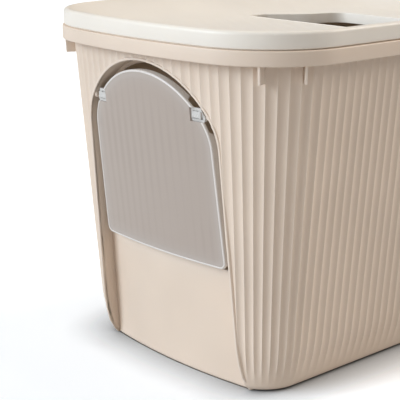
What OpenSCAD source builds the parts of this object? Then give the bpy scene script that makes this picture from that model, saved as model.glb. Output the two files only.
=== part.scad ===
// Top entry litter box: a fluted tub with an arched doorway and swing flap,
// under a dished lift-off lid with an entry hole. Millimetres, +Z up, front towards -Y.
// The tub, the lid and their bands are one profile swept round the same plan outline,
// which is made of arcs that meet tangentially: a bowed front and back, round corners
// and straight long sides. A profile is drawn as [inset from the rim outline, height].

/* [Plan outline] */
// Width over the rim
rim_w = 390; // [370:1:410]
// Length over the rim
rim_l = 580; // [540:1:620]
// How far the front and the back of the rim bow out
rim_bow = 25.7; // [22:0.1:30]
// Plan radius of the rim's corners
corner_r = 102; // [98:1:106]

/* [Tub] */
// Height of the rim's top ledge, where the lid sits
ledge_z = 371.6; // [365:0.1:380]
// Height of the outer band of the rim
band_h = 15.3; // [12:0.1:18]
// Wall thickness of the tub
wall_t = 3; // [2.6:0.1:3.4]
// Inset of the wall just under the rim band
wall_in = 13.5; // [12:0.1:15]
// Lean of the wall, in degrees from upright
draft = 4.8; // [4:0.1:5.4]
// Height at which the wall starts to curve in to the foot
foot_z = 57.5; // [50:0.5:65]
// Large radius of the foot's curve
foot_r1 = 170; // [150:1:200]
// Small radius where the foot meets the floor
foot_r2 = 12.7; // [10:0.1:15]

/* [Doorway] */
// Width of the arched recess where its sides turn into its shoulders
arch_w = 212; // [206:1:218]
// Lean of the recess's sides, in degrees from upright
arch_taper = 1.8; // [1.4:0.1:2.2]
// Height of the recess's crown
arch_top = 347; // [343:0.5:349]
// Height where the recess's sides turn into its shoulders
arch_spring = 262; // [258:1:266]
// Radius of the recess's shoulders
shoulder_r = 64; // [60:1:68]
// Depth of the recess behind the wall's face
recess_d = 18; // [16:0.5:20]
// Height of the doorway's sill
sill_z = 132; // [125:1:140]
// Width of the recess's edge left round the doorway
door_lip = 4; // [3:0.5:5]

/* [Flap] */
// Gap between the recess's side and the flap
flap_gap = 9.7; // [9.2:0.1:10.2]
// Height of the flap's lower edge
flap_z = 135.5; // [135:0.5:140]
// Thickness of the flap
flap_t = 2.2; // [1.8:0.1:2.6]
// Depth of the flap's turned-back edge
flap_edge = 9; // [7:0.5:9]
// How far the flap's face sits behind the wall's face at the hinge
flap_set = 1.5; // [1.2:0.1:2]
// Lean of the flap, in degrees from upright
flap_lean = 6.8; // [6.4:0.1:7.2]
// Height of the hinge axis
hinge_z = 300; // [297:1:303]
// Diameter of a hinge pin
pin_d = 5; // [4:0.1:6]

/* [Lid] */
// Height of the lid's top edge
lid_z = 390; // [386:0.5:394]
// Inset of the lid's skirt from the rim
lid_in = 2; // [1.5:0.1:2.5]
// Wall thickness of the lid
lid_t = 2.6; // [2.2:0.1:3]
// Depth of the lid's dish under its top edge
dish_d = 25; // [22:0.5:27]
// Inset at which the dish becomes flat
dish_in = 93; // [88:1:96]
// Width of the entry hole at its straight front edge
hole_w1 = 232; // [226:1:238]
// Width of the entry hole at its back
hole_w2 = 136; // [130:1:142]
// Depth of the entry hole, front to back
hole_l = 117; // [100:1:130]
// Place of the hole's front edge along the length
hole_y = -7; // [-20:1:10]
// Depth of the hole's turned-down edge
hole_edge = 10; // [8:0.5:12]

/* [Hidden] */
$fn = 96;

half_w = rim_w / 2;
half_l = rim_l / 2;
// Radius of the bowed front, and the centre of a corner's arc
front_r = (half_w * half_w + rim_bow * rim_bow) / (2 * rim_bow);
corner_x = half_w - corner_r;
corner_y = half_l - front_r + sqrt(pow(front_r - corner_r, 2) - corner_x * corner_x);
// Half the angle that the bowed front spans, and the angle of a corner
front_a = asin(corner_x / (front_r - corner_r));
corner_a = 90 - front_a;

band_z = ledge_z - band_h;
band_t = 2.4;
// Centres of the foot's two arcs, and where the first gives way to the second
foot_in = wall_in + tan(draft) * (band_z - foot_z);
foot_c1 = [foot_in + foot_r1 * cos(draft), foot_z + foot_r1 * sin(draft)];
foot_turn = asin((foot_c1[1] - foot_r2) / (foot_r1 - foot_r2));
foot_c2 = [foot_c1[0] - (foot_r1 - foot_r2) * cos(foot_turn), foot_r2];
join = 6;

// Inset of the wall's straight face at a height, e behind the face
function face_in(z, e = 0) = wall_in + tan(draft) * (band_z - z) + e / cos(draft);

// Points of the wall's face from the height z down to the floor, t inside the face
function wall_path(z, t = 0) = concat(
    [[face_in(z, t), z]],
    [for (i = [0:4]) let (a = draft + (foot_turn - draft) * i / 4)
        foot_c1 - (foot_r1 - t) * [cos(a), sin(a)]],
    [for (i = [1:6]) let (a = foot_turn + (90 - foot_turn) * i / 6)
        foot_c2 - (foot_r2 - t) * [cos(a), sin(a)]]);

function reversed(v) = [for (i = [len(v) - 1:-1:0]) v[i]];

// A profile turned from [inset, height] to [radius, height]
module at_radius(r) {
    translate([r, 0]) mirror([1, 0]) children();
}

// The profile swept along the bowed front, a degrees to each side of the middle
module front_sweep(a = front_a) {
    translate([0, front_r - half_l, 0]) rotate([0, 0, -90 - a])
        rotate_extrude(angle = 2 * a, $fn = 720) at_radius(front_r) children();
}

// What is drawn on the right, on both sides; and what is drawn in front, at both ends
module both_sides() {
    children();
    mirror([1, 0, 0]) children();
}

module both_ends() {
    children();
    mirror([0, 1, 0]) children();
}

// The plan outline, as [centre x, centre y, radius, angle] for each of its points.
// A point of the outline's inset s lies at the centre plus (radius - s) at the angle.
front_steps = 4;
corner_steps = 10;
quarter = concat(
    [for (k = [0:front_steps - 1])
        [0, front_r - half_l, front_r, front_a * k / front_steps - 90]],
    [for (k = [0:corner_steps])
        [corner_x, -corner_y, corner_r, corner_a * k / corner_steps - corner_a]]);
outline = concat(
    quarter,
    reversed([for (q = quarter) [q[0], -q[1], q[2], -q[3]]]),
    [for (k = [1:len(quarter) - 1]) let (q = quarter[k]) [-q[0], -q[1], q[2], q[3] - 180]],
    reversed([for (k = [1:len(quarter) - 1]) let (q = quarter[k]) [-q[0], q[1], q[2], 180 - q[3]]]));

// A closed shell under an open path of [inset, height] points: the path runs out from
// the middle over the top face, round the rim, and back in under the bottom face
module ring_shell(path) {
    n = len(outline);
    m = len(path);
    polyhedron(
        points = [for (p = path) for (q = outline)
            [q[0] + (q[2] - p[0]) * cos(q[3]), q[1] + (q[2] - p[0]) * sin(q[3]), p[1]]],
        faces = concat(
            [for (j = [0:m - 2]) for (i = [0:n - 1]) let (k = (i + 1) % n)
                [j * n + i, j * n + k, (j + 1) * n + k, (j + 1) * n + i]],
            [[for (i = [n - 1:-1:0]) i]],
            [[for (i = [0:n - 1]) (m - 1) * n + i]]),
        convexity = 6);
}

// ---- The arched recess and the doorway in the front ----

arch_cx = arch_w / 2 - shoulder_r / cos(arch_taper);
arch_rise = arch_top - arch_spring;
crown_r = (arch_cx * arch_cx + arch_rise * arch_rise - shoulder_r * shoulder_r)
    / (2 * (arch_rise - shoulder_r));
crown_z = arch_top - crown_r;

// Half the width between the arch's sides at a height, grown by a distance
function arch_side(z, grow = 0) =
    arch_cx + (shoulder_r + grow) / cos(arch_taper) + (arch_spring - z) * tan(arch_taper);

// Angle at which the shoulder's arc meets the crown's
crown_a = atan2(arch_spring - crown_z, arch_cx);

function arc(c, r, a0, a1, n) = [for (k = [0:n]) let (a = a0 + (a1 - a0) * k / n)
    c + r * [cos(a), sin(a)]];

// The arch's outline on the right, grown by g, from a height up to just under its crown,
// with a rounded lower corner if f isn't 0
function arch_half(g, low, f) = let (in = arch_side(low + f, g) - f / cos(arch_taper)) concat(
    f > 0 ? arc([in, low + f], f, -90, arch_taper, 5) : [[in, low]],
    arc([arch_cx, arch_spring], shoulder_r + g, arch_taper, crown_a, 9),
    [for (k = [1:13]) let (a = crown_a + (90 - crown_a) * k / 14)
        [(crown_r + g) * cos(a), crown_z + (crown_r + g) * sin(a)]]);

// The arch in the plane of the front
module arch(g, low, f = 0) {
    half = arch_half(g, low, f);
    polygon(concat(half, [[0, arch_top + g]], [for (q = reversed(half)) [-q[0], q[1]]]));
}

// A shape in the plane of the front, run through the front of the tub
module through_front() {
    translate([0, -corner_y, 0]) rotate([90, 0, 0])
        linear_extrude(height = half_l - corner_y + 20) children();
}

// Everything from e0 to e1 behind the wall's straight face, from z0 to z1
module face_band(e0, e1, z0, z1, a = front_a + 3) {
    front_sweep(a) polygon([[face_in(z0, e0), z0], [face_in(z1, e0), z1],
        [face_in(z1, e1), z1], [face_in(z0, e1), z0]]);
}

// ---- The hinge, shared by the tub, the flap and the clips ----

// Axis behind the wall's face: over the flap's centre of mass, so that it hangs shut
hinge_y = -half_l + face_in(hinge_z) + 13.56;
// Outline of the clip's pad about the axis's height, seen from the front
pad = [[70, -7], [87, -7], [88.5, -3], [83.5, 7], [70, 7]];
pad_x = pad[0][0];
pad_h = pad[4][1] - pad[0][1];
pad_set = 2;
pad_t = 3;
notch_gap = 0.1;
lug_w = 7;
lug_d = 8;
flap_r = 8;
lug_x = 85;
pin_end = 99;
socket_end = 100.5;
socket_gap = 0.1;
socket_wall = 3;
// Radius round the axis within which the flap's edge isn't turned back
edge_relief = 17;

// Inset of the flap's face at a height, e behind the face
function flap_in(z, e = 0) =
    face_in(hinge_z, flap_set) + tan(flap_lean) * (hinge_z - z) + e / cos(flap_lean);

// Everything from e0 to e1 behind the flap's face, from z0 to z1
module flap_band(e0, e1, z0, z1) {
    front_sweep(front_a + 3) polygon([[flap_in(z0, e0), z0], [flap_in(z1, e0), z1],
        [flap_in(z1, e1), z1], [flap_in(z0, e1), z0]]);
}

// A rod on the hinge axis, from x0 to x1
module hinge_rod(d, x0, x1) {
    translate([x0, hinge_y, hinge_z]) rotate([0, 90, 0]) cylinder(h = x1 - x0, d = d);
}

// A block about the hinge's height, run through the front of the tub
module hinge_block(x0, x1, h) {
    translate([x0, -half_l, hinge_z - h / 2]) cube([x1 - x0, half_l - corner_y, h]);
}

// ---- Parts ----

up_in = lid_in + lid_t + 0.6;
up_t = 2.4;
up_h = 8;

// The tub's floor and wall, the upstand that the lid's skirt drops over, and the
// channel-shaped rim
function tub_path() = let (edge = 1, out = 0.3) concat(
    reversed(wall_path(ledge_z, wall_t)),
    [[up_in + up_t, ledge_z], [up_in + up_t, ledge_z + up_h],
        [up_in, ledge_z + up_h], [up_in, ledge_z],
        [out + edge, ledge_z], [out, ledge_z - edge], [out, band_z + edge],
        [out + edge, band_z], [out + band_t, band_z], [out + band_t, ledge_z - wall_t]],
    wall_path(ledge_z - wall_t));

// Angles of the plates under the rim at each corner, from the long side
gusset_a = [22, 49];
gusset_t = 2.6;
gusset_drop = 18;

// A thin upright plate between the wall and the rim band
module rim_gusset(a) {
    low = band_z - gusset_drop;
    translate([corner_x, -corner_y, 0]) rotate([0, 0, -a]) rotate([90, 0, 0])
        linear_extrude(height = gusset_t, center = true) at_radius(corner_r)
            polygon([[1.5, ledge_z - 1], [1.5, band_z + 1], [3.5, low],
                [face_in(low) + 2, low], [face_in(ledge_z) + 2, ledge_z - 1]]);
}

module tub_shell() {
    ring_shell(tub_path());
    both_ends() both_sides() for (a = gusset_a) rim_gusset(a);
}

// The recess's space in front of its panel
module recess_space() {
    intersection() {
        through_front() arch(0, -1);
        face_band(-40, recess_d, -1, band_z);
    }
}

// The recess's side walls and its panel, with the sockets for the hinge pins
module recess_box() {
    skin = 1.7;
    top = band_z + 1;
    back = recess_d + wall_t;
    difference() {
        union() {
            intersection() {
                through_front() arch(wall_t, 0.8);
                front_sweep(front_a + 4) polygon(concat(wall_path(top, skin),
                    [[face_in(0, back) + join, 0], [face_in(top, back), top]]));
            }
            both_sides() hinge_rod(pin_d + 2 * socket_wall, pin_end - 8, socket_end + 2);
        }
        recess_space();
        through_front() arch(-door_lip, sill_z, 10);
        both_sides() hinge_rod(pin_d + 2 * socket_gap, pin_end - 14, socket_end);
    }
}

module tub() color("#dccfc0") {
    difference() {
        tub_shell();
        recess_space();
    }
    recess_box();
}

// ---- The lid ----

bead_r = 4;
bead_w = 6.5;
step_h = 1;
dish_x = dish_in - lid_in - bead_w;
dish_r = (dish_x * dish_x + pow(dish_d - step_h, 2)) / (2 * (dish_d - step_h));
dish_a = asin(dish_x / dish_r);

// The dish's curve, e below its top face
function dish_path(e, n = 8) = [for (i = [0:n]) let (a = dish_a * (n - i) / n)
    [dish_in - (dish_r + e) * sin(a), lid_z - dish_d + dish_r - (dish_r + e) * cos(a)]];

// The rounded outer top of the bead, e inside its face
function bead_path(e, n = 5) = [for (i = [0:n]) let (a = 90 * i / n)
    [lid_in + bead_r - (bead_r - e) * cos(a), lid_z - bead_r + (bead_r - e) * sin(a)]];

// The lid's skin: its deck, dish and bead, and the skirt round it
lid_path = concat(
    reversed(dish_path(0)),
    [[lid_in + bead_w, lid_z - step_h], [lid_in + bead_w, lid_z]],
    reversed(bead_path(0)),
    [[lid_in, ledge_z + 0.8], [lid_in + 0.8, ledge_z], [lid_in + lid_t, ledge_z]],
    bead_path(lid_t),
    dish_path(lid_t));

// Points of a polygon whose corners p are rounded to the radii r
function rounded(p, r, n = 6) = [for (i = [0:len(p) - 1])
    let (u = p[(i + len(p) - 1) % len(p)] - p[i], v = p[(i + 1) % len(p)] - p[i],
        a = u / norm(u), b = v / norm(v),
        half = acos(a * b) / 2, m = (a + b) / norm(a + b),
        turn = sign(a[0] * b[1] - a[1] * b[0]), c = p[i] + m * r[i] / sin(half))
    for (k = [0:n]) let (w = (k / n * 2 - 1) * (90 - half))
        c - r[i] * [m[0] * cos(w) + turn * m[1] * sin(w), m[1] * cos(w) - turn * m[0] * sin(w)]];

function mirrored(p) = concat(p, [for (q = reversed(p)) [-q[0], q[1]]]);

// The entry hole's outline, grown by g
module hole_shape(g) {
    w1 = hole_w1 / 2 + g;
    w2 = hole_w2 / 2 + g;
    y1 = hole_y + hole_l + g;
    flank = hole_y + 27;
    neck = [w2 + 12, hole_y + 72];
    r = [8 + g, 24 + g, 40 - g, 22 + g];
    polygon(rounded(mirrored([[w1, hole_y - g], [w1 - 1, flank + g], neck, [w2, y1]]),
        concat(r, reversed(r))));
}

module lid() color("#f1eee4") {
    deck_z = lid_z - dish_d;
    difference() {
        union() {
            ring_shell(lid_path);
            translate([0, 0, deck_z - hole_edge - lid_t])
                linear_extrude(height = hole_edge + lid_t) hole_shape(lid_t);
        }
        translate([0, 0, deck_z - hole_edge - lid_t - 1])
            linear_extrude(height = hole_edge + lid_t + 2) hole_shape(0);
    }
}

// ---- The flap and its clips ----

module flap() color("#b3aba4") {
    difference() {
        union() {
            intersection() {
                through_front() arch(-flap_gap, flap_z, flap_r);
                flap_band(0, flap_t, flap_z - 1, arch_top);
            }
            intersection() {
                through_front() difference() {
                    arch(-flap_gap, flap_z, flap_r);
                    arch(-flap_gap - flap_t, flap_z - 1);
                }
                difference() {
                    flap_band(flap_t / 2, flap_edge, flap_z - 1, arch_top);
                    both_sides() hinge_rod(2 * edge_relief, pad_x - 4, arch_w / 2);
                }
            }
        }
        both_sides() hinge_block(pad_x - notch_gap, arch_w / 2, pad_h + 2 * notch_gap);
    }
}

module hinge_clip_right() color("#e4e6e4") {
    lip = 3;
    low = hinge_z - pad_h;
    high = hinge_z + pad_h;
    intersection() {
        through_front() translate([0, hinge_z]) polygon(pad);
        flap_band(pad_set, pad_set + pad_t, low, high);
    }
    intersection() {
        hinge_block(pad_x - lip, pad_x + 1, pad_h);
        flap_band(flap_t + notch_gap, pad_set + pad_t, low, high);
    }
    translate([pad_x, hinge_y - lug_w, hinge_z - lug_w / 2]) cube([lug_x - pad_x, lug_w, lug_w]);
    hinge_rod(lug_d, pad_x, lug_x);
    hinge_rod(pin_d, pad_x + 1, pin_end);
}

module hinge_clip_left() color("#e4e6e4") {
    mirror([1, 0, 0]) hinge_clip_right();
}

tub();
lid();
flap();
hinge_clip_left();
hinge_clip_right();
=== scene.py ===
import math

import bmesh
import bpy
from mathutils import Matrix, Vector


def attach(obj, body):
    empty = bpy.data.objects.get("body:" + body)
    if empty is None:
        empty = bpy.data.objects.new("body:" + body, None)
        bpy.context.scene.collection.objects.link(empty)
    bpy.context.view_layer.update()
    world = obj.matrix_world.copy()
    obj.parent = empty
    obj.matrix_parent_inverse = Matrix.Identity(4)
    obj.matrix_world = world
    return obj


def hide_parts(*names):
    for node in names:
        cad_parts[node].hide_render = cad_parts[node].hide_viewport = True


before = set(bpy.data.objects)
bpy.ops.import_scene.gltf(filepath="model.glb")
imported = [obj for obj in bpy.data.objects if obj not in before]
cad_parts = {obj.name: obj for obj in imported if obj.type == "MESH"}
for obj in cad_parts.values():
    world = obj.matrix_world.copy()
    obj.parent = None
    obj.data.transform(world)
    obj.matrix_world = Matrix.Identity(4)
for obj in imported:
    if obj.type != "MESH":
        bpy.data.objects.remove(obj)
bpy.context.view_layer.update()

bl_info = {
    "name": "Top Entry Litter Box",
    "version": (1, 0, 0),
    "blender": (4, 5, 0),
    "location": "View3D > Sidebar > Litter Box",
    "description": "Dresses a fluted litter box with a lift-off lid and a swing flap",
    "category": "Add Mesh",
}

MM = 0.001

# ---- The box's own sizes, in millimetres, shared by the pieces ----

HALF_W, HALF_L = 195.0, 290.0
BOW, CORNER_R = 25.7, 102.0
FRONT_R = (HALF_W ** 2 + BOW ** 2) / (2 * BOW)
CORNER_X = HALF_W - CORNER_R
FRONT_Y = FRONT_R - HALF_L
CORNER_Y = -FRONT_Y + math.sqrt((FRONT_R - CORNER_R) ** 2 - CORNER_X ** 2)
FRONT_A = math.asin(CORNER_X / (FRONT_R - CORNER_R))
SIDE_S = FRONT_R * FRONT_A + CORNER_R * (math.pi / 2 - FRONT_A)
LEDGE_Z, BAND_Z, WALL_T = 371.6, 356.3, 3.0
RIM_SET, RIM_LIP, RIM_R = 0.3, 2.7, 1.4
WALL_IN, DRAFT = 13.5, math.radians(4.8)
FOOT_Z, FOOT_R1, FOOT_R2 = 57.5, 170.0, 12.7
ARCH_W, ARCH_TOP, SPRING, SHOULDER_R = 212.0, 347.0, 262.0, 64.0
ARCH_TAPER = math.radians(1.8)
RECESS_D, SILL_Z, DOOR_LIP = 18.0, 132.0, 4.0
FLAP_GAP, FLAP_Z, FLAP_T, FLAP_SET, FLAP_EDGE = 9.7, 135.5, 2.2, 1.5, 9.0
FLAP_LEAN = math.radians(6.8)
FLAP_R, EDGE_RELIEF = 8.0, 17.0
HINGE_Z, HINGE_SET = 300.0, 13.56
PIN_D, PIN_END, BOSS_D, SOCKET_D = 5.0, 98.9, 8.0, 11.2
PAD = ((70.0, -7.0), (87.0, -7.0), (88.5, -3.0), (83.5, 7.0), (70.0, 7.0))
LID_Z, LID_IN, LID_T, DISH_D, DISH_IN = 390.0, 2.0, 2.6, 25.0, 93.0
BEAD_W, BEAD_STEP = 6.5, 1.0
HOLE_W1, HOLE_W2, HOLE_Y, HOLE_L, HOLE_EDGE = 232.0, 136.0, -7.0, 117.0, 12.0
UPSTAND_IN, UPSTAND_T, UPSTAND_H = LID_IN + LID_T + 0.6, 2.4, 7.9

# Distances along the rim, from the middle of the front, where the flutes change their spacing
FRONT_FLUTED = 115.6
CORNER_FLUTED = SIDE_S + 4.4


def face_in(z, e=0.0):
    """Inset of the wall's straight face at a height, e behind the face."""
    return WALL_IN + math.tan(DRAFT) * (BAND_Z - z) + e / math.cos(DRAFT)


C1 = (face_in(FOOT_Z) + FOOT_R1 * math.cos(DRAFT), FOOT_Z + FOOT_R1 * math.sin(DRAFT))
TURN = math.asin((C1[1] - FOOT_R2) / (FOOT_R1 - FOOT_R2))
C2 = (C1[0] - (FOOT_R1 - FOOT_R2) * math.cos(TURN), FOOT_R2)
HINGE_Y = -HALF_L + face_in(HINGE_Z) + HINGE_SET


def flap_in(z, e=0.0):
    """Inset of the flap's face at a height, e behind the face."""
    return face_in(HINGE_Z, FLAP_SET) + math.tan(FLAP_LEAN) * (HINGE_Z - z) + e / math.cos(FLAP_LEAN)


def wall_in(z):
    """Inset of the wall's real face, with its curved foot."""
    if z >= FOOT_Z:
        return face_in(z)
    if z >= FOOT_R2 * (1 - math.sin(TURN)):
        return C1[0] - math.sqrt(FOOT_R1 ** 2 - (z - C1[1]) ** 2)
    return C2[0] - math.sqrt(max(FOOT_R2 ** 2 - (z - FOOT_R2) ** 2, 0.0))


def foot_path(t, n1, n2):
    """[inset, height] points of the foot's curve, t inside the wall's face."""
    a = [DRAFT + (TURN - DRAFT) * i / n1 for i in range(n1 + 1)]
    b = [TURN + (math.pi / 2 - TURN) * i / n2 for i in range(1, n2 + 1)]
    return ([(C1[0] - (FOOT_R1 - t) * math.cos(v), C1[1] - (FOOT_R1 - t) * math.sin(v)) for v in a]
            + [(C2[0] - (FOOT_R2 - t) * math.cos(v), C2[1] - (FOOT_R2 - t) * math.sin(v)) for v in b])


def stations(side, corner, end, per):
    """(distance, groove) for each point of the outline, from the middle of the front round to
    the middle of the right side. groove runs 0, 1, 0 across a flute.

    side, corner and end count the flutes on each stretch, and per the points in a flute.
    """
    bends = (0.0, FRONT_FLUTED, CORNER_FLUTED, SIDE_S + CORNER_Y)
    made = []
    for low, high, flutes in zip(bends, bends[1:], (end // 2, corner, side // 2)):
        n = flutes * per
        for i in range(n):
            t = 2 * ((i / per) % 1.0) - 1
            made.append((low + (high - low) * i / n, 1 - t * t))
    return made + [(bends[-1], 0.0)]


def place(s):
    """(x, y, normal x, normal y) of the rim's outline at a distance from its front's middle."""
    if s < FRONT_R * FRONT_A:
        a = s / FRONT_R
        return FRONT_R * math.sin(a), FRONT_Y - FRONT_R * math.cos(a), math.sin(a), -math.cos(a)
    if s < SIDE_S:
        a = FRONT_A + (s - FRONT_R * FRONT_A) / CORNER_R
        return (CORNER_X + CORNER_R * math.sin(a), -CORNER_Y - CORNER_R * math.cos(a),
                math.sin(a), -math.cos(a))
    return HALF_W, s - SIDE_S - CORNER_Y, 1.0, 0.0


def ring_at(points, inset, z, groove=0.0):
    """One ring of the outline at an inset and a height, with its flutes groove deep."""
    quarter = []
    for s, g in points:
        x, y, nx, ny = place(s)
        d = inset + groove * g
        quarter.append((x - nx * d, y - ny * d))
    half = quarter + [(x, -y) for x, y in reversed(quarter[:-1])]
    return [(x * MM, y * MM, z * MM) for x, y in half + [(-x, y) for x, y in reversed(half[1:-1])]]


def on_front(x, z, inset):
    """The point of the bowed front at a place across and up, at an inset."""
    return (x * MM, (FRONT_Y - math.sqrt((FRONT_R - inset) ** 2 - x * x)) * MM, z * MM)


def arch_loop(grow, low, corner, n=(10, 6, 16, 18, 22)):
    """(x, z) round the doorway's arch, grown by a distance, down to the height low.

    n counts the points on half its foot, a lower corner, a side, a shoulder and half the crown.
    """
    r = SHOULDER_R + grow
    cx = ARCH_W / 2 - SHOULDER_R / math.cos(ARCH_TAPER)
    rise = ARCH_TOP - SPRING
    crown = (cx * cx + rise * rise - SHOULDER_R ** 2) / (2 * (rise - SHOULDER_R))
    cz = ARCH_TOP - crown
    lean = math.atan2(SPRING - cz, cx)

    def side(z):
        return cx + r / math.cos(ARCH_TAPER) + (SPRING - z) * math.tan(ARCH_TAPER)

    foot = side(low + corner) - corner / math.cos(ARCH_TAPER)
    z0 = low + corner + corner * math.sin(ARCH_TAPER)
    z1 = SPRING + r * math.sin(ARCH_TAPER)
    right = [(foot * i / n[0], low) for i in range(n[0])]
    right += [(foot + corner * math.cos(a), low + corner + corner * math.sin(a))
              for a in ((math.pi / 2 + ARCH_TAPER) * i / n[1] - math.pi / 2 for i in range(n[1]))]
    right += [(side(z), z) for z in (z0 + (z1 - z0) * i / n[2] for i in range(n[2]))]
    right += [(cx + r * math.cos(a), SPRING + r * math.sin(a))
              for a in (ARCH_TAPER + (lean - ARCH_TAPER) * i / n[3] for i in range(n[3]))]
    right += [((crown + grow) * math.cos(a), cz + (crown + grow) * math.sin(a))
              for a in (lean + (math.pi / 2 - lean) * i / n[4] for i in range(n[4] + 1))]
    return right + [(-x, z) for x, z in reversed(right[1:-1])]


def shrunk(loop, z0, t):
    """A loop drawn in to a share t of its size, about the height z0 on the middle line."""
    return [(x * t, z0 + (z - z0) * t) for x, z in loop]


# ---- Modelling helpers ----

def deselect():
    """Leaves edit mode with nothing selected."""
    if bpy.context.mode != "OBJECT":
        bpy.ops.object.mode_set(mode="OBJECT")
    bpy.ops.object.select_all(action="DESELECT")


def only(obj):
    """Selects one object and makes it active."""
    deselect()
    obj.select_set(True)
    bpy.context.view_layer.objects.active = obj


def pull(name, rings, caps=True):
    """Starts from a filled circle and pulls it through the rings, one extrusion for each.

    With caps, the first and last ring are closed by a face; without, they are bridged.
    """
    deselect()
    count = len(rings[0])
    bpy.ops.mesh.primitive_circle_add(vertices=count, radius=1.0, fill_type="NGON",
                                      location=(0, 0, 0))
    obj = bpy.context.object
    obj.name = obj.data.name = name
    bpy.ops.object.mode_set(mode="EDIT")
    bm = bmesh.from_edit_mesh(obj.data)
    tag = bm.verts.layers.int.new("station")
    bm.verts.ensure_lookup_table()
    for i, v in enumerate(bm.verts):
        v[tag] = i
        v.co = rings[0][i]
    bpy.ops.mesh.select_all(action="SELECT")
    for ring in rings[1:]:
        bpy.ops.mesh.extrude_region_move()
        bm = bmesh.from_edit_mesh(obj.data)
        tag = bm.verts.layers.int["station"]
        for f in bm.faces:
            if f.select:
                for v in f.verts:
                    v.co = ring[v[tag]]
    if not caps:
        bpy.ops.mesh.select_all(action="DESELECT")
        bpy.ops.mesh.select_mode(type="FACE")
        bm = bmesh.from_edit_mesh(obj.data)
        for f in bm.faces:
            f.select_set(len(f.verts) == count)
        bpy.ops.mesh.delete(type="ONLY_FACE")
        bpy.ops.mesh.select_mode(type="EDGE")
        bm = bmesh.from_edit_mesh(obj.data)
        for e in bm.edges:
            e.select_set(e.is_boundary)
        bpy.ops.mesh.bridge_edge_loops()
    bpy.ops.mesh.select_mode(type="VERT")
    bpy.ops.mesh.select_all(action="SELECT")
    bpy.ops.mesh.remove_doubles(threshold=1e-6)
    bpy.ops.mesh.normals_make_consistent(inside=False)
    bpy.ops.object.mode_set(mode="OBJECT")
    return obj


def cut(obj, tool):
    """Cuts the tool's solid out of the piece, and removes the tool."""
    only(obj)
    mod = obj.modifiers.new("cut", "BOOLEAN")
    mod.operation = "DIFFERENCE"
    mod.solver = "EXACT"
    mod.object = tool
    bpy.ops.object.modifier_apply(modifier=mod.name)
    bpy.data.objects.remove(tool)


def join(name, pieces):
    """Makes one object of several."""
    deselect()
    for p in pieces:
        p.select_set(True)
    bpy.context.view_layer.objects.active = pieces[0]
    bpy.ops.object.join()
    obj = bpy.context.object
    obj.name = obj.data.name = name
    return obj


def smooth(obj):
    """Shades a piece smooth, apart from its sharp edges."""
    only(obj)
    bpy.ops.object.shade_smooth_by_angle(angle=math.radians(32))


def mirrored(obj, mx, my):
    """A copy of a piece with its own mesh, mirrored across one or both middle planes."""
    made = obj.copy()
    made.data = obj.data.copy()
    bpy.context.collection.objects.link(made)
    made.scale = (mx, my, 1)
    only(made)
    bpy.ops.object.transform_apply(location=True, rotation=True, scale=True)
    if mx * my < 0:
        bpy.ops.object.mode_set(mode="EDIT")
        bpy.ops.mesh.select_all(action="SELECT")
        bpy.ops.mesh.flip_normals()
        bpy.ops.object.mode_set(mode="OBJECT")
    return made


def block(name, low, high, bevel=0.0):
    """A box between two corners in millimetres, with its edges bevelled."""
    deselect()
    mid = [(a + b) / 2 * MM for a, b in zip(low, high)]
    bpy.ops.mesh.primitive_cube_add(size=1.0, location=mid)
    obj = bpy.context.object
    obj.name = obj.data.name = name
    obj.scale = [(b - a) * MM for a, b in zip(low, high)]
    bpy.ops.object.transform_apply(location=True, rotation=True, scale=True)
    if bevel:
        bpy.ops.object.mode_set(mode="EDIT")
        bpy.ops.mesh.select_all(action="SELECT")
        bpy.ops.mesh.bevel(offset=bevel * MM, segments=3, affect="EDGES")
        bpy.ops.object.mode_set(mode="OBJECT")
    return obj


def rod(name, d, x0, x1):
    """A pin on the hinge axis from x0 to x1, with its ends eased."""
    deselect()
    bpy.ops.mesh.primitive_cylinder_add(vertices=40, radius=d / 2 * MM, depth=(x1 - x0) * MM,
                                        location=((x0 + x1) / 2 * MM, HINGE_Y * MM, HINGE_Z * MM),
                                        rotation=(0, math.pi / 2, 0))
    obj = bpy.context.object
    obj.name = obj.data.name = name
    bpy.ops.object.transform_apply(location=True, rotation=True, scale=True)
    bpy.ops.object.mode_set(mode="EDIT")
    bpy.ops.mesh.select_all(action="DESELECT")
    bpy.ops.mesh.select_mode(type="FACE")
    bm = bmesh.from_edit_mesh(obj.data)
    for f in bm.faces:
        f.select_set(abs(f.normal.x) > 0.9)
    bpy.ops.mesh.bevel(offset=0.4 * MM, segments=2, affect="EDGES")
    bpy.ops.object.mode_set(mode="OBJECT")
    return obj


def settle(obj, body, material):
    """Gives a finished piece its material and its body."""
    obj.data.materials.clear()
    obj.data.materials.append(material)
    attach(obj, body)


# ---- Materials ----

def node(tree, kind, x, y, **values):
    """Adds a node at a place, and sets its named properties and inputs."""
    n = tree.nodes.new(kind)
    n.location = (x, y)
    for k, v in values.items():
        if hasattr(n, k):
            setattr(n, k, v)
        else:
            n.inputs[k.replace("_", " ")].default_value = v
    return n


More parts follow.
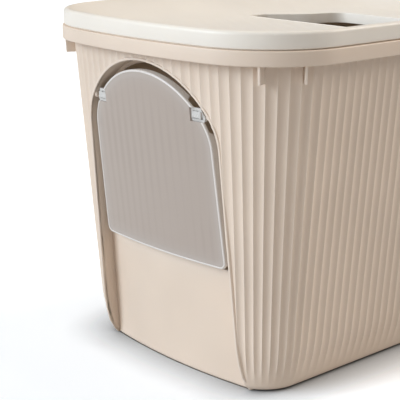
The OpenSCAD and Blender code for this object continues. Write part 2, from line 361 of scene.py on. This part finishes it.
def grain_group():
    """Moulded plastic's surface: fine grain, broad unevenness, a painted highlight that lightens sharp
    edges, and light scuffs.
    """
    old = bpy.data.node_groups.get("moulded_grain")
    if old:
        return old
    g = bpy.data.node_groups.new("moulded_grain", "ShaderNodeTree")
    face = g.interface
    for name, kind in (("Fine scale", "NodeSocketFloat"), ("Depth", "NodeSocketFloat")):
        face.new_socket(name, in_out="INPUT", socket_type=kind)
    for name, kind in (("Normal", "NodeSocketVector"), ("Tone", "NodeSocketFloat"),
                       ("Edge", "NodeSocketFloat"), ("Rough", "NodeSocketFloat")):
        face.new_socket(name, in_out="OUTPUT", socket_type=kind)
    gin = node(g, "NodeGroupInput", -900, 0)
    out = node(g, "NodeGroupOutput", 700, 0)
    co = node(g, "ShaderNodeTexCoord", -900, 300)
    fine = node(g, "ShaderNodeTexNoise", -600, 300, Detail=3.0, Roughness=0.6)
    broad = node(g, "ShaderNodeTexNoise", -600, 0, Scale=9.0, Detail=2.0, Roughness=0.5)
    scuff = node(g, "ShaderNodeTexNoise", -600, -300, Scale=60.0, Detail=4.0, Roughness=0.7)
    geo = node(g, "ShaderNodeNewGeometry", -600, -600)
    link = g.links.new
    link(co.outputs["Object"], fine.inputs["Vector"])
    link(co.outputs["Object"], broad.inputs["Vector"])
    link(co.outputs["Object"], scuff.inputs["Vector"])
    link(gin.outputs["Fine scale"], fine.inputs["Scale"])
    bump = node(g, "ShaderNodeBump", 100, 200, Strength=0.35)
    link(gin.outputs["Depth"], bump.inputs["Distance"])
    link(fine.outputs["Fac"], bump.inputs["Height"])
    link(bump.outputs["Normal"], out.inputs["Normal"])
    tone = node(g, "ShaderNodeMapRange", -200, 0, From_Min=0.3, From_Max=0.7)
    link(broad.outputs["Fac"], tone.inputs["Value"])
    link(tone.outputs["Result"], out.inputs["Tone"])
    # Painted highlight: sharp edges, found by pointiness, come out lighter.
    edge = node(g, "ShaderNodeMapRange", -200, -600, From_Min=0.505, From_Max=0.56)
    link(geo.outputs["Pointiness"], edge.inputs["Value"])
    link(edge.outputs["Result"], out.inputs["Edge"])
    rough = node(g, "ShaderNodeMapRange", -200, -300, From_Min=0.35, From_Max=0.65)
    link(scuff.outputs["Fac"], rough.inputs["Value"])
    link(rough.outputs["Result"], out.inputs["Rough"])
    return g


def with_painted_flute_shade(t, tone):
    """The tone with faint upright stripes added, 12 mm apart: painted shade of the fluted wall behind the
    flap.
    """
    co = node(t, "ShaderNodeTexCoord", -900, 400)
    wave = node(t, "ShaderNodeTexWave", -700, 400, wave_type="BANDS", bands_direction="X",
                Scale=26.0, Distortion=0.6, Detail=1.0)
    both = node(t, "ShaderNodeMath", -400, 300, operation="ADD")
    t.links.new(co.outputs["Object"], wave.inputs["Vector"])
    t.links.new(wave.outputs["Fac"], both.inputs[0])
    t.links.new(tone, both.inputs[1])
    return both.outputs[0]


def with_ridges(t, normal, pitch):
    """The normal with shallow ridges on the lid's landing, at a pitch in metres."""
    deck = (LID_Z - DISH_D) * MM
    co = node(t, "ShaderNodeTexCoord", -1100, -400)
    turned = node(t, "ShaderNodeMapping", -900, -400, Rotation=(0, 0, math.radians(28)))
    wave = node(t, "ShaderNodeTexWave", -700, -400, wave_type="BANDS", bands_direction="Y",
                Scale=math.pi / 10 / pitch)
    axes = node(t, "ShaderNodeSeparateXYZ", -700, -700)
    flat = node(t, "ShaderNodeMapRange", -500, -700, From_Min=deck + 0.0035, From_Max=deck + 0.0005)
    both = node(t, "ShaderNodeMath", -300, -500, operation="MULTIPLY")
    bump = node(t, "ShaderNodeBump", -100, -500, Strength=0.5, Distance=0.0005)
    link = t.links.new
    link(co.outputs["Object"], turned.inputs["Vector"])
    link(co.outputs["Object"], axes.inputs[0])
    link(turned.outputs["Vector"], wave.inputs["Vector"])
    link(axes.outputs["Z"], flat.inputs["Value"])
    link(wave.outputs["Fac"], both.inputs[0])
    link(flat.outputs["Result"], both.inputs[1])
    link(both.outputs[0], bump.inputs["Height"])
    link(normal, bump.inputs["Normal"])
    return bump.outputs["Normal"]


def plastic(name, color, rough, depth, fine=1500.0, spread=0.06, transmission=0.0, alpha=1.0,
            sub=0.0, painted_flute_shade=False, ridges=0.0):
    """A moulded plastic of one colour, with the grain group's variation over it.

    rough and spread set the roughness and how far it varies, fine and depth the grain's scale and
    height, sub the light that goes through, and ridges the pitch of any ridges.
    """
    # edge is how far sharp edges are lightened towards white, a painted highlight.
    tone, edge = 0.05, 0.12
    mat = bpy.data.materials.new(name)
    mat.use_nodes = True
    t = mat.node_tree
    t.nodes.clear()
    out = node(t, "ShaderNodeOutputMaterial", 700, 0)
    bsdf = node(t, "ShaderNodeBsdfPrincipled", 400, 0)
    bsdf.inputs["Metallic"].default_value = 0.0
    bsdf.inputs["IOR"].default_value = 1.49
    bsdf.inputs["Transmission Weight"].default_value = transmission
    bsdf.inputs["Alpha"].default_value = alpha
    bsdf.inputs["Subsurface Weight"].default_value = sub
    bsdf.inputs["Subsurface Radius"].default_value = (0.012, 0.009, 0.006)
    bsdf.inputs["Subsurface Scale"].default_value = 1.0
    g = node(t, "ShaderNodeGroup", -500, 0, node_tree=grain_group())
    g.inputs["Fine scale"].default_value = fine
    g.inputs["Depth"].default_value = depth
    dark = [c * (1 - tone) for c in color[:3]] + [1]
    light = [min(c * (1 + tone * 0.5), 1) for c in color[:3]] + [1]
    # Painted highlight: the colour that sharp edges are lightened to.
    edge_highlight_tint = [min(c + (1 - c) * edge, 1) for c in color[:3]] + [1]
    mix = node(t, "ShaderNodeMix", -200, 100, data_type="RGBA")
    mix.inputs[6].default_value = dark
    mix.inputs[7].default_value = light
    edge_highlight_mix = node(t, "ShaderNodeMix", 50, 100, data_type="RGBA")
    edge_highlight_mix.inputs[7].default_value = edge_highlight_tint
    rr = node(t, "ShaderNodeMapRange", -200, -200,
              To_Min=rough - spread / 2, To_Max=rough + spread / 2)
    link = t.links.new
    tones = g.outputs["Tone"]
    link(with_painted_flute_shade(t, tones) if painted_flute_shade else tones, mix.inputs[0])
    link(mix.outputs[2], edge_highlight_mix.inputs[6])
    link(g.outputs["Edge"], edge_highlight_mix.inputs[0])
    link(edge_highlight_mix.outputs[2], bsdf.inputs["Base Color"])
    link(g.outputs["Rough"], rr.inputs["Value"])
    link(rr.outputs["Result"], bsdf.inputs["Roughness"])
    normal = g.outputs["Normal"]
    link(with_ridges(t, normal, ridges) if ridges else normal, bsdf.inputs["Normal"])
    link(bsdf.outputs["BSDF"], out.inputs["Surface"])
    return mat


# ---- Settings ----

class LitterBoxTub(bpy.types.PropertyGroup):
    side_flutes: bpy.props.IntProperty(
        name="Side flutes", description="Flutes on each long side", default=30, min=20, max=40)
    corner_flutes: bpy.props.IntProperty(
        name="Corner flutes", description="Flutes round each corner", default=10, min=6, max=14)
    end_flutes: bpy.props.IntProperty(
        name="End flutes", description="Flutes across the front and the back",
        default=18, min=12, max=28)
    flute_depth: bpy.props.FloatProperty(
        name="Flute depth", description="Depth of a flute in the wall",
        default=0.0016, min=0.0005, max=0.0022, unit="LENGTH", precision=4)
    color: bpy.props.FloatVectorProperty(
        name="Colour", description="Colour of the tub's plastic",
        default=(0.81, 0.67, 0.55), size=3, min=0, max=1, subtype="COLOR")


class LitterBoxLid(bpy.types.PropertyGroup):
    bead_radius: bpy.props.FloatProperty(
        name="Bead radius", description="Radius of the lid's rounded outer edge",
        default=0.004, min=0.002, max=0.005, unit="LENGTH", precision=4)
    ridge_pitch: bpy.props.FloatProperty(
        name="Ridge spacing", description="Spacing of the landing's shallow ridges",
        default=0.016, min=0.01, max=0.024, unit="LENGTH", precision=4)
    color: bpy.props.FloatVectorProperty(
        name="Colour", description="Colour of the lid's plastic",
        default=(0.924, 0.863, 0.772), size=3, min=0, max=1, subtype="COLOR")


class LitterBoxFlap(bpy.types.PropertyGroup):
    edge_round: bpy.props.FloatProperty(
        name="Edge rounding", description="Radius of the flap's rounded edge",
        default=0.0014, min=0.0008, max=0.0016, unit="LENGTH", precision=4)
    opacity: bpy.props.FloatProperty(
        name="Opacity", description="How little shows through the flap",
        default=0.8, min=0.5, max=1)
    color: bpy.props.FloatVectorProperty(
        name="Colour", description="Colour of the flap's smoky plastic",
        default=(0.546, 0.467, 0.413), size=3, min=0, max=1, subtype="COLOR")
    # Painted highlight: the flap's rim and turned-back edge get this pale colour, lighter than the flap.
    flap_edge_highlight_color: bpy.props.FloatVectorProperty(
        name="Edge colour", description="Colour of the flap's turned-back edge",
        default=(0.80, 0.76, 0.72), size=3, min=0, max=1, subtype="COLOR")
    clip_color: bpy.props.FloatVectorProperty(
        name="Clip colour", description="Colour of the clear hinge clips",
        default=(0.86, 0.84, 0.81), size=3, min=0, max=1, subtype="COLOR")


class LitterBoxStage(bpy.types.PropertyGroup):
    floor_color: bpy.props.FloatVectorProperty(
        name="Floor colour", description="Colour of the plain floor",
        default=(0.92, 0.92, 0.92), size=3, min=0, max=1, subtype="COLOR")
    key_power: bpy.props.FloatProperty(
        name="Key light", description="Strength of the soft main light",
        default=2.43, min=0, max=20)
    back_power: bpy.props.FloatProperty(
        name="Back light", description="Strength of the soft light from behind on the right",
        default=1.5, min=0, max=20)
    ambient: bpy.props.FloatProperty(
        name="Ambient light", description="Strength of the light from all round",
        default=0.8, min=0, max=5)


# ---- Pieces ----

class LITTERBOX_OT_tub(bpy.types.Operator):
    """Models the fluted tub with its rim, foot, arched recess and doorway"""
    bl_idname = "litterbox.tub"
    bl_label = "Tub"

    def shell(self, s):
        """The tub's wall: from the inside of the floor over the rim and down to the underside."""
        points = stations(s.side_flutes, s.corner_flutes, s.end_flutes, 8)
        depth = s.flute_depth / MM
        inner = [(face_in(z, WALL_T), z) for z in (LEDGE_Z, 330, 250, 160, 90)]
        path = [(x, z, 0) for x, z in reversed(foot_path(WALL_T, 6, 6))]
        path += [(x, z, 0) for x, z in reversed(inner)]
        near, far, top, ease = UPSTAND_IN, UPSTAND_IN + UPSTAND_T, LEDGE_Z + UPSTAND_H, 0.6
        path += [(far, LEDGE_Z, 0), (far, top - ease - 0.1, 0), (far - ease, top, 0),
                 (near + ease, top, 0), (near, top - ease - 0.1, 0), (near, LEDGE_Z, 0)]
        quarter = [math.pi / 2 * i / 4 for i in range(5)]
        r, under = RIM_R, LEDGE_Z - WALL_T
        path += [(RIM_SET + r - r * math.sin(a), LEDGE_Z - r + r * math.cos(a), 0) for a in quarter]
        path += [(RIM_SET + r - r * math.cos(a), BAND_Z + r - r * math.sin(a), 0) for a in quarter]
        path += [(RIM_LIP, BAND_Z, 0), (RIM_LIP, under, 0), (face_in(under), under, 1)]
        path += [(face_in(z), z, 1) for z in (BAND_Z, 330, 290, 250, 210, 170, 130, 95, 75)]
        for x, z in foot_path(0, 10, 7):
            fade = min(max((z - 6) / 34, 0), 1)
            path.append((x, z, fade * fade * (3 - 2 * fade)))
        return pull("tub_shell", [ring_at(points, x, z, depth * f) for x, z, f in path])

    def recess_tool(self):
        """The recess's space, from in front of the wall to just behind the panel's face."""
        arch = arch_loop(0, -2, 0.5)
        shares = (0.05, 0.3, 0.6, 0.85, 1.0)
        rings = [[on_front(x, z, -30) for x, z in shrunk(arch, 150.0, t)] for t in shares]
        rings += [[on_front(x, z, face_in(z, RECESS_D) + 1.0) for x, z in shrunk(arch, 150.0, t)]
                  for t in reversed(shares)]
        return pull("recess_tool", rings)

    def liner(self):
        """The recess's rounded lip, its side walls and its panel, round the doorway."""
        side = arch_loop(0, 0.2, 0.5)
        outer = arch_loop(WALL_T, 0.2, 0.5)
        door = arch_loop(-DOOR_LIP, SILL_Z, 10)
        rings = []

        def ring(loop, depth):
            rings.append([on_front(x, z, depth(x, z)) for x, z in loop])

        def between(t, a=side, b=door):
            return [(p[0] + (q[0] - p[0]) * t, p[1] + (q[1] - p[1]) * t) for p, q in zip(a, b)]

        def panel(x, z):
            return face_in(z, RECESS_D)

        def rear(x, z):
            return face_in(z, RECESS_D + WALL_T)

        def front_of(e, wall):
            return lambda x, z: min(wall_in(z) + e, wall(x, z))

        ring(arch_loop(2.7, 0.2, 0.5), front_of(0.5, panel))
        ring(arch_loop(2.2, 0.2, 0.5), front_of(0.05, panel))
        ring(arch_loop(0.5, 0.2, 0.5), front_of(0.05, panel))
        ring(side, front_of(0.6, panel))
        ring(side, front_of(2.8, panel))
        ring(side, lambda x, z: max(panel(x, z) - 1.5, min(wall_in(z) + 2.9, panel(x, z))))
        ring(between(0.012), lambda x, z: panel(x, z) - 0.4)
        for t in (0.03, 0.15, 0.3, 0.45, 0.6, 0.75, 0.9):
            ring(between(t), panel)
        ring(arch_loop(-DOOR_LIP + 0.5, SILL_Z - 0.5, 10.5), panel)
        ring(door, lambda x, z: panel(x, z) + 0.5)
        ring(door, rear)
        for t in (0.9, 0.6, 0.3):
            ring(between(t, outer), rear)
        ring(outer, rear)
        ring(outer, front_of(1.2, rear))
        return pull("recess_liner", rings, caps=False)

    def plates(self):
        """The upright plates under the rim, two at each corner.

        around is where a plate's outer end stands on the corner, and run is the way its plane
        runs, both in degrees from the long side.
        """
        made = []
        low_z, half_t = BAND_Z - 18, 1.3
        for around, run in ((22, 42), (49, 68)):
            p = block("rim_plate", (0, -half_t, low_z), (60, half_t, LEDGE_Z - 2.5))
            bpy.ops.object.mode_set(mode="EDIT")
            bm = bmesh.from_edit_mesh(p.data)
            side = (CORNER_R - 3.6) * math.sin(math.radians(run - around))
            for v in bm.verts:
                low = v.co.z < BAND_Z * MM - 0.001
                reach = 3.6 if low else 1.6
                back = face_in(low_z) + 2 if low else face_in(LEDGE_Z) + 2
                far = CORNER_R - (reach if v.co.x > 0.03 else back)
                v.co.x = math.sqrt(far * far - side * side) * MM
                v.co.y += side * MM
            bmesh.update_edit_mesh(p.data)
            bpy.ops.mesh.select_all(action="SELECT")
            bpy.ops.mesh.bevel(offset=0.4 * MM, segments=2, affect="EDGES")
            bpy.ops.object.mode_set(mode="OBJECT")
            p.rotation_euler.z = -math.radians(run)
            p.location = (CORNER_X * MM, -CORNER_Y * MM, 0)
            only(p)
            bpy.ops.object.transform_apply(location=True, rotation=True, scale=True)
            made.append(p)
            made += [mirrored(p, mx, my) for mx, my in ((-1, 1), (1, -1), (-1, -1))]
        return join("rim_plates", made)

    def execute(self, context):
        s = context.scene.litterbox_tub
        mat = plastic("moulded_tub", s.color, rough=0.48, depth=0.00015, fine=1400.0, spread=0.1,
                      sub=0.05)
        shell = self.shell(s)
        cut(shell, self.recess_tool())
        smooth(shell)
        liner = self.liner()
        smooth(liner)
        plates = self.plates()
        smooth(plates)
        sockets = join("pin_sockets", [rod("right_socket", SOCKET_D, 91, 102.5),
                                       rod("left_socket", SOCKET_D, -102.5, -91)])
        smooth(sockets)
        for piece in (shell, liner, plates, sockets):
            settle(piece, "tub", mat)
        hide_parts("tub")
        return {"FINISHED"}


class LITTERBOX_OT_lid(bpy.types.Operator):
    """Models the dished lid with its bead, skirt and entry hole"""
    bl_idname = "litterbox.lid"
    bl_label = "Lid"

    def execute(self, context):
        s = context.scene.litterbox_lid
        mat = plastic("moulded_lid", s.color, rough=0.36, depth=0.0001, fine=1400.0, spread=0.1,
                      sub=0.05, ridges=s.ridge_pitch)
        points = stations(16, 8, 10, 4)
        bead = s.bead_radius / MM
        deck = LID_Z - DISH_D
        run, drop = DISH_IN - LID_IN - BEAD_W, DISH_D - BEAD_STEP
        dish_r = (run * run + drop * drop) / (2 * drop)
        dish_a = math.asin(run / dish_r)

        def dish(e, n):
            """The dish's arc, e under its face, from its outer end in to the landing."""
            r = dish_r + e
            return [(DISH_IN - r * math.sin(a), deck + dish_r - r * math.cos(a))
                    for a in (dish_a * (n - i) / n for i in range(n + 1))]

        path = list(reversed(dish(0, 22)))
        inner = LID_IN + BEAD_W
        path[-1:] = [(path[-1][0] + 0.4, path[-1][1] - 0.1), (inner, LID_Z - BEAD_STEP + 0.4),
                     (inner - 0.3, LID_Z - 0.2), (inner - 0.8, LID_Z)]
        path += [(LID_IN + bead - bead * math.sin(a), LID_Z - bead + bead * math.cos(a))
                 for a in (math.pi / 2 * i / 8 for i in range(9))]
        path += [(LID_IN, LEDGE_Z + 2.3), (LID_IN + 0.3, LEDGE_Z + 1.5), (LID_IN + 1.5, LEDGE_Z + 1.2),
                 (LID_IN + LID_T, LEDGE_Z), (LID_IN + LID_T, LID_Z - bead)]
        under = bead - LID_T
        path += [(LID_IN + bead - under * math.cos(a), LID_Z - bead + under * math.sin(a))
                 for a in (math.pi / 4, math.pi / 2)]
        path += dish(LID_T, 12)
        lid = pull("lid_shell", [ring_at(points, x, z) for x, z in path])

        def hole(grow, z):
            return [(x * MM, y * MM, z * MM) for x, y in hole_loop(grow)]

        cut(lid, pull("hole_tool", [hole(0.6, deck - 30), hole(0.6, deck + 30)]))
        rings = [hole(0.8, deck - LID_T), hole(0.8, deck - 0.3)]
        rings += [hole(0.8 - 0.8 * math.sin(a), deck + 0.5 - 0.8 * (1 - math.cos(a)))
                  for a in (math.pi / 2 * i / 4 for i in range(5))]
        low = deck - HOLE_EDGE
        rings += [hole(0, low), hole(0.6, low - 0.6), hole(LID_T - 0.6, low - 0.6),
                  hole(LID_T, low), hole(LID_T, deck - LID_T)]
        flange = pull("hole_flange", rings, caps=False)
        for piece in (lid, flange):
            smooth(piece)
            settle(piece, "lid", mat)
        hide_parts("lid")
        return {"FINISHED"}


def hole_loop(grow, n=8):
    """(x, y) round the entry hole, grown by a distance, from the middle of its front."""
    w1, w2 = HOLE_W1 / 2 + grow, HOLE_W2 / 2 + grow
    y0, y1 = HOLE_Y - grow, HOLE_Y + HOLE_L + grow
    corners = [((w1, y0), 8 + grow), ((w1 - 1, HOLE_Y + 27 + grow), 24 + grow),
               ((w2 + 12, HOLE_Y + 72), 40 - grow), ((w2, y1), 22 + grow)]
    pts = [c for c, r in corners]
    pts = [(-pts[0][0], y0)] + pts + [(-pts[3][0], y1)]
    right = [(0.0, y0)]
    for i, (c, r) in enumerate(corners):
        p, a, b = Vector(c), Vector(pts[i]), Vector(pts[i + 2])
        u, v = (a - p).normalized(), (b - p).normalized()
        half = u.angle(v) / 2
        centre = p + (u + v).normalized() * r / math.sin(half)
        t0, t1 = p + u * r / math.tan(half), p + v * r / math.tan(half)
        d0, d1 = t0 - centre, t1 - centre
        turn = math.atan2(d0.cross(d1), d0.dot(d1))
        for k in range(n + 1):
            w = turn * k / n
            right.append((centre.x + d0.x * math.cos(w) - d0.y * math.sin(w),
                          centre.y + d0.x * math.sin(w) + d0.y * math.cos(w)))
    right.append((0.0, y1))
    return right + [(-x, y) for x, y in reversed(right[1:-1])]


class LITTERBOX_OT_flap(bpy.types.Operator):
    """Models the smoky swing flap, with its rim and turned-back edge in a pale colour that is a painted
    highlight
    """
    bl_idname = "litterbox.flap"
    bl_label = "Flap"

    def execute(self, context):
        s = context.scene.litterbox_flap
        # The flap's faint stripes are painted shade of the flutes behind it.
        mat = plastic("moulded_flap", s.color, rough=0.22, depth=0.00005, alpha=s.opacity, painted_flute_shade=True)
        # Painted highlight: the rim and turned-back edge get a pale colour of their own.
        flap_edge_highlight_mat = plastic("flap_edge_painted_highlight", s.flap_edge_highlight_color, rough=0.3, depth=0.00005)
        r = s.edge_round / MM
        rings = []

        def loop(grow, low=0.0):
            return arch_loop(-FLAP_GAP - grow, FLAP_Z + low, max(FLAP_R - grow, 1))

        def ring(points, depth):
            rings.append([on_front(x, z, flap_in(z, depth(x, z) if callable(depth) else depth))
                          for x, z in points])

        def back(x, z):
            """How deep the turned-back edge is: none along the bottom and by the hinge."""
            t = min(max((z - FLAP_Z - 4) / 10, 0), 1)
            if abs(x) > 64:
                t = min(t, max(abs(z - HINGE_Z) - EDGE_RELIEF, 0) / 3)
            return FLAP_T + 0.4 + (FLAP_EDGE - FLAP_T - 0.4) * t

        rim, proud = 2.4, 0.25
        base = loop(rim, rim)
        shares = (0.03, 0.2, 0.4, 0.6, 0.8, 0.93, 1.0)
        for t in shares:
            ring(shrunk(base, 235.0, t), 0.0)
        for t in reversed(shares):
            ring(shrunk(base, 235.0, t), FLAP_T)
        flap = pull("flap_shell", rings)
        rings.clear()
        ring(base, 0.0)
        ring(loop(rim - 0.3, rim - 0.3), -proud)
        ring(loop(r + 0.2, r + 0.2), -proud)
        for i in range(5):
            a = math.pi / 2 * i / 4
            away = r - r * math.sin(a)
            ring(loop(away, away), r - r * math.cos(a) - proud * math.cos(a))
        for grow, low, depth in ((0, 0, back), (0.5, 0.3, back), (FLAP_T - 0.5, 0.3, back),
                                 (FLAP_T, 0.6, back), (rim, rim, FLAP_T)):
            ring(loop(grow, low), depth)
        edge = pull("flap_edge", rings, caps=False)
        for piece in (flap, edge):
            for side in (-1, 1):
                x0, x1 = sorted((side * (PAD[0][0] - 0.1), side * 96))
                cut(piece, block("notch", (x0, -HALF_L, HINGE_Z - 7.1), (x1, -200, HINGE_Z + 7.1)))
            smooth(piece)
            settle(piece, "flap", mat if piece is flap else flap_edge_highlight_mat)
        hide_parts("flap")
        return {"FINISHED"}


class LITTERBOX_OT_clips(bpy.types.Operator):
    """Models the two clear hinge clips, each with its frame, lug and pin"""
    bl_idname = "litterbox.clips"
    bl_label = "Hinge clips"

    def execute(self, context):
        s = context.scene.litterbox_flap
        mat = plastic("moulded_clip", s.clip_color, rough=0.25, depth=0.00003, transmission=0.3)

        def prism(name, shape, d0, d1):
            """A shape about the axis's height, run from d0 to d1 behind the flap's face."""
            return pull(name, [[on_front(x, HINGE_Z + z, flap_in(HINGE_Z + z, d)) for x, z in shape]
                               for d in (d0, d1)])

        x0 = PAD[0][0]
        pad = prism("pad", PAD, 2.05, 4.95)
        cut(pad, prism("window", ((x0 + 2.6, -4.4), (x0 + 11, -4.4), (x0 + 10.2, 4.4), (x0 + 2.6, 4.4)),
                       1, 3.3))
        cut(pad, prism("slot", ((x0 + 12.6, -4.4), (x0 + 15.6, -4.4), (x0 + 12.8, 3.4), (x0 + 11.8, 3.4)),
                       1, 4))
        lip = prism("lip", ((x0 - 2.9, -6.9), (x0 + 1, -6.9), (x0 + 1, 6.9), (x0 - 2.9, 6.9)),
                    FLAP_T + 0.15, 4.9)
        lug = block("lug", (x0 + 0.5, HINGE_Y - 7, HINGE_Z - 3.4), (84.5, HINGE_Y, HINGE_Z + 3.4),
                    bevel=0.4)
        right = join("hinge_clip_right_detail",
                     [pad, lip, lug, rod("boss", BOSS_D, x0 + 0.5, 84.8),
                      rod("pin", PIN_D, x0 + 2, PIN_END)])
        left = mirrored(right, -1, 1)
        left.name = left.data.name = "hinge_clip_left_detail"
        for piece, name in ((right, "hinge_clip_right"), (left, "hinge_clip_left")):
            smooth(piece)
            settle(piece, "flap", mat)
            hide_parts(name)
        return {"FINISHED"}


KEY_FROM, KEY_SPREAD, KEY_COLOR = (-0.9, -2.0, 0.89), 40, (0.82, 0.91, 1.0)
BACK_FROM, BACK_SPREAD, BACK_COLOR = (0.65, 1.6, 1.0), 30, (1.0, 0.95, 0.9)
AMBIENT_COLOR = (1, 0.93, 0.86, 1)
CAMERA_AT, CAMERA_AIM, LENS, SENSOR = (0.9507, -1.0348, 0.5235), (0.0492, -0.2345, 0.2001), 105.76, 36.0
# What the camera sees of the floor, over its colour, and the share that bounces back on the box
FLOOR_SEEN, FLOOR_BOUNCE = (1.34, 1.40, 1.46), 0.7


class LITTERBOX_OT_stage(bpy.types.Operator):
    """Sets up the plain floor, the soft lights and the camera"""
    bl_idname = "litterbox.stage"
    bl_label = "Stage"

    def sun(self, name, where, spread, power, color):
        """A soft sun that shines from a place towards the box."""
        deselect()
        bpy.ops.object.light_add(type="SUN", location=where)
        lamp = bpy.context.object
        lamp.name = lamp.data.name = name
        lamp.data.angle = math.radians(spread)
        lamp.data.energy = power
        lamp.data.color = color
        lamp.rotation_euler = (-Vector(where)).to_track_quat("-Z", "Y").to_euler()

    def split(self, tree, kind, lit, seen):
        """Shows one shader to the camera, and lets another one light the box."""
        out = node(tree, kind, 500, 0)
        path = node(tree, "ShaderNodeLightPath", 0, 400)
        mix = node(tree, "ShaderNodeMixShader", 250, 0)
        tree.links.new(path.outputs["Is Camera Ray"], mix.inputs[0])
        tree.links.new(lit.outputs[0], mix.inputs[1])
        tree.links.new(seen.outputs[0], mix.inputs[2])
        tree.links.new(mix.outputs[0], out.inputs["Surface"])

    def floor(self, color):
        """The plain floor, with a painted contact shadow: ambient occlusion darkens its colour close
        under the box.
        """
        deselect()
        bpy.ops.mesh.primitive_plane_add(size=14, location=(0, 0, 0))
        floor = bpy.context.object
        floor.name = floor.data.name = "floor"
        mat = bpy.data.materials.new("floor")
        mat.use_nodes = True
        t = mat.node_tree
        t.nodes.clear()
        seen = node(t, "ShaderNodeBsdfDiffuse", 0, 100)
        # Painted shadow: the floor's seen colour is darkened by ambient occlusion near the box.
        painted_contact_shadow = node(t, "ShaderNodeAmbientOcclusion", -250, 100, samples=16, Distance=0.06)
        painted_contact_shadow.inputs["Color"].default_value = [c * k for c, k in zip(color, FLOOR_SEEN)] + [1]
        t.links.new(painted_contact_shadow.outputs["Color"], seen.inputs["Color"])
        bounce = node(t, "ShaderNodeBsdfDiffuse", 0, -100, Color=[c * FLOOR_BOUNCE for c in color] + [1])
        self.split(t, "ShaderNodeOutputMaterial", bounce, seen)
        floor.data.materials.append(mat)

    def studio(self, strength):
        """Light from all round that grows towards the top, on a background that is seen as white."""
        world = bpy.data.worlds.new("studio")
        bpy.context.scene.world = world
        world.use_nodes = True
        t = world.node_tree
        t.nodes.clear()
        co = node(t, "ShaderNodeTexCoord", -800, 100)
        axes = node(t, "ShaderNodeSeparateXYZ", -600, 100)
        rise = node(t, "ShaderNodeMapRange", -300, 100, To_Max=strength)
        ambient = node(t, "ShaderNodeBackground", 0, 100, Color=AMBIENT_COLOR)
        t.links.new(co.outputs["Generated"], axes.inputs[0])
        t.links.new(axes.outputs["Z"], rise.inputs["Value"])
        t.links.new(rise.outputs["Result"], ambient.inputs["Strength"])
        white = node(t, "ShaderNodeBackground", 0, -100, Color=(1, 1, 1, 1))
        self.split(t, "ShaderNodeOutputWorld", ambient, white)

    def execute(self, context):
        s = context.scene.litterbox_stage
        self.floor(s.floor_color)
        self.sun("key", KEY_FROM, KEY_SPREAD, s.key_power, KEY_COLOR)
        self.sun("back", BACK_FROM, BACK_SPREAD, s.back_power, BACK_COLOR)
        self.studio(s.ambient)
        deselect()
        bpy.ops.object.camera_add(location=CAMERA_AT)
        cam = bpy.context.object
        cam.name = cam.data.name = "camera"
        aim = Vector(CAMERA_AIM) - cam.location
        cam.rotation_euler = aim.to_track_quat("-Z", "Y").to_euler()
        cam.data.lens = LENS
        cam.data.sensor_width = SENSOR
        cam.data.clip_end = 50.0
        context.scene.camera = cam
        context.scene.view_settings.view_transform = "Standard"
        return {"FINISHED"}


class LITTERBOX_PT_panel(bpy.types.Panel):
    """Lists the pieces and their settings"""
    bl_idname = "LITTERBOX_PT_panel"
    bl_label = "Litter Box"
    bl_space_type = "VIEW_3D"
    bl_region_type = "UI"
    bl_category = "Litter Box"

    def draw(self, context):
        for op, group, names in PIECES:
            box = self.layout.box()
            box.operator(op.bl_idname)
            for name in names:
                box.prop(getattr(context.scene, group), name)


PIECES = (
    (LITTERBOX_OT_tub, "litterbox_tub",
     ("side_flutes", "corner_flutes", "end_flutes", "flute_depth", "color")),
    (LITTERBOX_OT_lid, "litterbox_lid", ("bead_radius", "ridge_pitch", "color")),
    (LITTERBOX_OT_flap, "litterbox_flap", ("edge_round", "opacity", "color", "flap_edge_highlight_color")),
    (LITTERBOX_OT_clips, "litterbox_flap", ("clip_color",)),
    (LITTERBOX_OT_stage, "litterbox_stage", ("floor_color", "key_power", "back_power", "ambient")),
)
GROUPS = (("litterbox_tub", LitterBoxTub), ("litterbox_lid", LitterBoxLid),
          ("litterbox_flap", LitterBoxFlap), ("litterbox_stage", LitterBoxStage))


def register():
    for name, group in GROUPS:
        bpy.utils.register_class(group)
        setattr(bpy.types.Scene, name, bpy.props.PointerProperty(type=group))
    for op, _, _ in PIECES:
        bpy.utils.register_class(op)
    bpy.utils.register_class(LITTERBOX_PT_panel)


def unregister():
    bpy.utils.unregister_class(LITTERBOX_PT_panel)
    for op, _, _ in reversed(PIECES):
        bpy.utils.unregister_class(op)
    for name, group in reversed(GROUPS):
        delattr(bpy.types.Scene, name)
        bpy.utils.unregister_class(group)


def main():
    register()
    bpy.ops.litterbox.tub()
    bpy.ops.litterbox.lid()
    bpy.ops.litterbox.flap()
    bpy.ops.litterbox.clips()
    bpy.ops.litterbox.stage()


if __name__ == "__main__":
    main()
